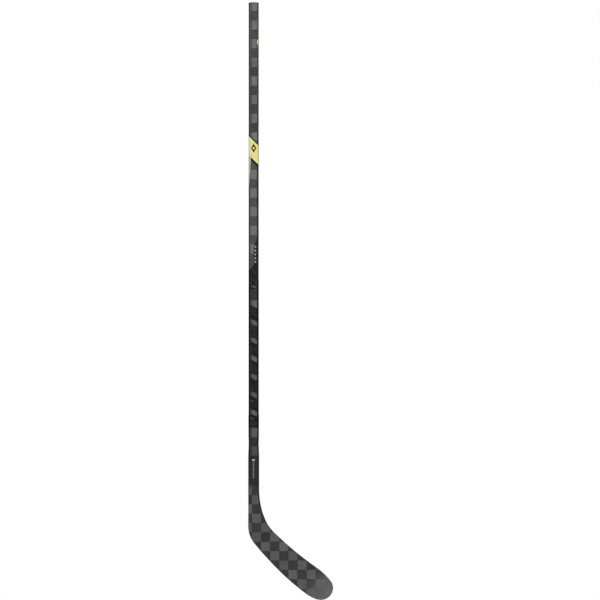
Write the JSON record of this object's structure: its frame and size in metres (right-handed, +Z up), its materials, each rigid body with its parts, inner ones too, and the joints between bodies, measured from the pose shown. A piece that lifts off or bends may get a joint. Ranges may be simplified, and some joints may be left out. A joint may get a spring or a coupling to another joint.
{
  "type": "ice hockey stick",
  "caption": "Composite ice hockey stick: hollow checkered shaft with a push-fit end plug, a fused hosel, and a thin curved foam-cored blade with bound edges.",
  "frame": {"origin": "on the shaft's axis, at the middle of the top hand's grip, 72 mm below the tube's butt end", "axes": "+Z up the shaft towards the butt end, +X towards the toe, -Y out of the forehand face"},
  "size_m": [0.2504, 0.035, 1.761],
  "materials": {
    "raw_laminate": "semi-matt carbon laminate, unpainted",
    "checker_carbon": "spread-tow carbon checker under a satin clear coat",
    "blade_carbon": "spread-tow carbon checker under a satin clear coat",
    "plug_rubber": "matt moulded black",
    "epoxy": "cured epoxy",
    "wrap_laminate": "gloss black sleeve",
    "core_foam": "closed-cell foam",
    "dense_filler": "filled epoxy",
    "toe_elastomer": "matt elastomer",
    "edge_laminate": "satin dark ply",
    "yellow_film": "satin pale yellow transfer",
    "black_film": "gloss black transfer",
    "gloss_black_film": "gloss black transfer",
    "pale_film": "satin yellow-grey transfer",
    "badge_film": "satin pale yellow transfer",
    "badge_rim": "dark olive transfer",
    "grip_mesh": "raised tacky diamond mesh",
    "grey_film": "grey transfer"
  },
  "bodies": {
    "stick": {"shaft_tube": "raw_laminate", "shaft_checker_ply": "checker_carbon", "hosel_tenon": "raw_laminate", "tenon_glue": "epoxy", "fuse_wrap": "wrap_laminate", "forehand_skin": "blade_carbon", "backhand_skin": "blade_carbon", "hosel_core": "core_foam", "heel_block": "dense_filler", "upper_core": "core_foam", "blade_rib": "raw_laminate", "lower_core": "core_foam", "toe_insert": "toe_elastomer", "bottom_edge_ply": "edge_laminate", "top_edge_ply": "edge_laminate", "accent_band": "yellow_film", "band_top_line": "black_film", "band_bottom_line": "black_film", "band_mark": "black_film", "left_wedge": "pale_film", "side_badge": "badge_film", "badge_ring": "badge_rim", "right_side_panel": "yellow_film", "right_corner_stripe": "black_film", "grip_panel": "grip_mesh", "outline_panel": "black_film", "marker_chips": "grey_film", "gloss_panel": "gloss_black_film", "hosel_ticks": "grey_film"},
    "plug": {"end_plug": "plug_rubber"}
  },
  "joints": [
    {"name": "plug_slide", "type": "slide", "parent": "stick", "child": "plug", "axis": [0, 0, 1], "range_m": [0, 0.06]}
  ]
}
